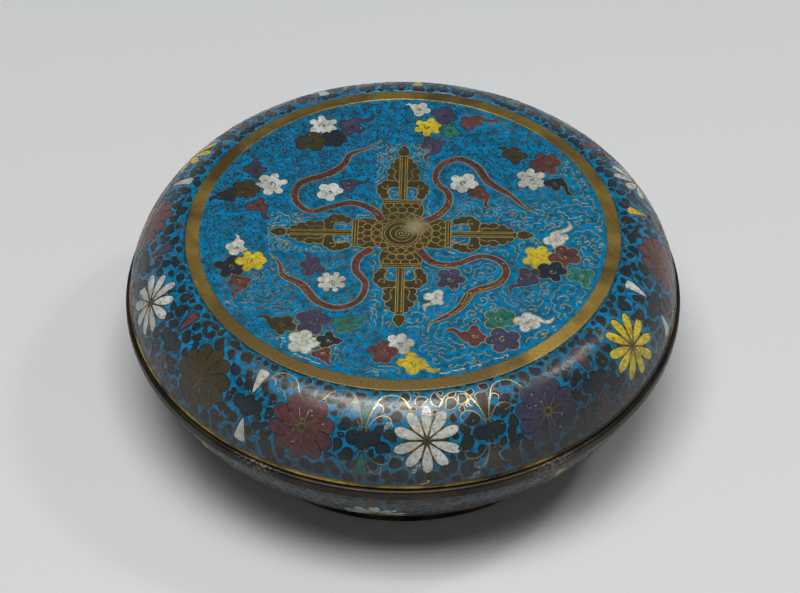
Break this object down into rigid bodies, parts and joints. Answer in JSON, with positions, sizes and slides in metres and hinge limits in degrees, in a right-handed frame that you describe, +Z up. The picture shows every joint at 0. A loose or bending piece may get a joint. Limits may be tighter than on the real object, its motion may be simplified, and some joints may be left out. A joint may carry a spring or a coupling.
{
  "type": "cloisonne enamel box with a lift-off lid",
  "caption": "Round enamelled box with a low domed lid that lifts off, gilt copper rims and a foot ring, hollow and empty.",
  "frame": {"origin": "centre of the foot ring's underside, on the ground", "axes": "+Z up through the middle of the lid; the lid's crossed thunderbolt has its arms along X and Y"},
  "size_m": [0.1526, 0.1526, 0.0577],
  "materials": {
    "enamel": "polished cloisonne enamel, turquoise ground",
    "gilt_copper": "worn fire gilding, tarnished"
  },
  "bodies": {
    "root": {"foot_ring": "gilt_copper", "base_body": "enamel", "base_rim": "gilt_copper", "lid_rim": "gilt_copper", "lid_body": "enamel", "lid_ring": "gilt_copper"}
  },
  "joints": []
}
